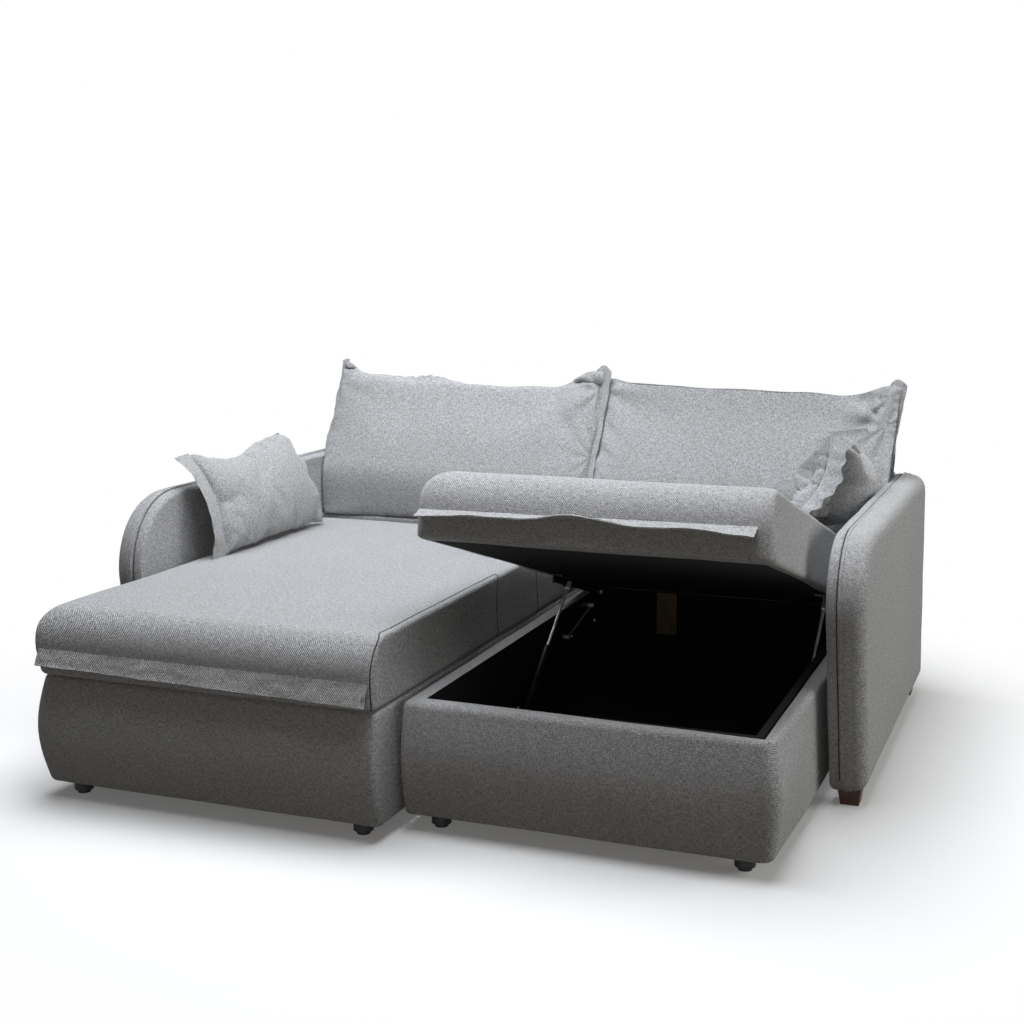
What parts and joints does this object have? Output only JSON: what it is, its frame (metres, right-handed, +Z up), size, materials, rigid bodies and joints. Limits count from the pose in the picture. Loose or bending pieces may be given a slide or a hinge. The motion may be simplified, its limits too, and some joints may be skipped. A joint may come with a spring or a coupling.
{
  "type": "storage sofa",
  "caption": "Low storage sofa with rounded arms and loose back cushions; each seat lid lifts at the front on gas struts over an open storage box.",
  "frame": {"origin": "middle of the footprint, on the floor", "axes": "+X to the right seen from the front, +Y from the seat fronts to the back, +Z up"},
  "size_m": [1.868, 1.6736, 0.9183],
  "materials": {
    "fabric": "woven grey upholstery",
    "lining": "boards covered in matt black lining",
    "ply": "bare plywood",
    "timber": "sawn softwood",
    "steel": "black powder coat",
    "bright_steel": "polished",
    "foot_wood": "dark brown lacquer",
    "glide_black": "moulded"
  },
  "bodies": {
    "frame": {"left_arm_panel": "ply", "right_arm_panel": "ply", "left_arm_upholstery": "fabric", "right_arm_upholstery": "fabric", "left_arm_piping": "fabric", "right_arm_piping": "fabric", "left_arm_feet": "foot_wood", "right_arm_feet": "foot_wood", "back_frame": "timber", "back_upholstery": "fabric", "rear_deck_frame": "timber", "rear_deck_pad": "fabric", "rear_glides": "glide_black", "left_back_cushion": "fabric", "right_back_cushion": "fabric", "left_box_floor": "lining", "left_box_front_board": "lining", "left_box_rear_board": "lining", "left_box_side_boards": "lining", "left_box_front_pad": "fabric", "left_box_inner_pad": "fabric", "left_box_outer_pad": "fabric", "left_box_glides": "glide_black", "left_rear_batten": "timber", "left_hinge_plates": "steel", "left_hinge_pins": "bright_steel", "left_strut_feet": "steel", "left_brace_rods": "bright_steel", "right_box_floor": "lining", "right_box_front_board": "lining", "right_box_rear_board": "lining", "right_box_side_boards": "lining", "right_box_front_pad": "fabric", "right_box_inner_pad": "fabric", "right_box_outer_pad": "fabric", "right_box_glides": "glide_black", "right_rear_batten": "timber", "right_hinge_plates": "steel", "right_hinge_pins": "bright_steel", "right_strut_feet": "steel", "right_brace_rods": "bright_steel"},
    "left_lid": {"left_lid_arms": "steel", "left_lid_board": "lining", "left_lid_cushion": "fabric", "left_pull_flange": "fabric", "left_throw_pillow": "fabric"},
    "left_strut_cylinders": {"left_strut_cylinders": "steel"},
    "left_strut_rods": {"left_strut_rods": "bright_steel"},
    "right_lid": {"right_lid_arms": "steel", "right_lid_board": "lining", "right_lid_cushion": "fabric", "right_pull_flange": "fabric", "right_throw_pillow": "fabric"},
    "right_strut_cylinders": {"right_strut_cylinders": "steel"},
    "right_strut_rods": {"right_strut_rods": "bright_steel"}
  },
  "joints": [
    {"name": "left_lid_hinge", "type": "hinge", "parent": "frame", "child": "left_lid", "pos_m": [0.01, 0.5432, 0.276], "axis": [-1, 0, 0], "range_deg": [0, 16.2]},
    {"name": "left_strut_swing", "type": "hinge", "parent": "frame", "child": "left_strut_cylinders", "pos_m": [0.01, -0.1268, 0.094], "axis": [1, 0, 0], "range_deg": [0, 9.87]},
    {"name": "left_strut_extend", "type": "slide", "parent": "left_strut_cylinders", "child": "left_strut_rods", "axis": [0, 0.8902, 0.4555], "range_m": [0, 0.05822]},
    {"name": "right_lid_hinge", "type": "hinge", "parent": "frame", "child": "right_lid", "pos_m": [0.01, 0.5432, 0.276], "axis": [-1, 0, 0], "range_deg": [-16.2, 0], "stiffness_Nm_per_rad": 110, "springref_deg": 171.89},
    {"name": "right_strut_swing", "type": "hinge", "parent": "frame", "child": "right_strut_cylinders", "pos_m": [0.01, -0.1268, 0.094], "axis": [1, 0, 0], "range_deg": [-9.87, 0]},
    {"name": "right_strut_extend", "type": "slide", "parent": "right_strut_cylinders", "child": "right_strut_rods", "axis": [0, 0.7992, 0.6011], "range_m": [-0.05822, 0]}
  ],
  "couplings": [
    {"joint": "left_strut_swing", "follows": "left_lid_hinge", "ratio": 0.60804},
    {"joint": "left_strut_extend", "follows": "left_lid_hinge", "m_per_rad": 0.20556},
    {"joint": "right_strut_swing", "follows": "right_lid_hinge", "ratio": 0.60804},
    {"joint": "right_strut_extend", "follows": "right_lid_hinge", "m_per_rad": 0.20556}
  ]
}
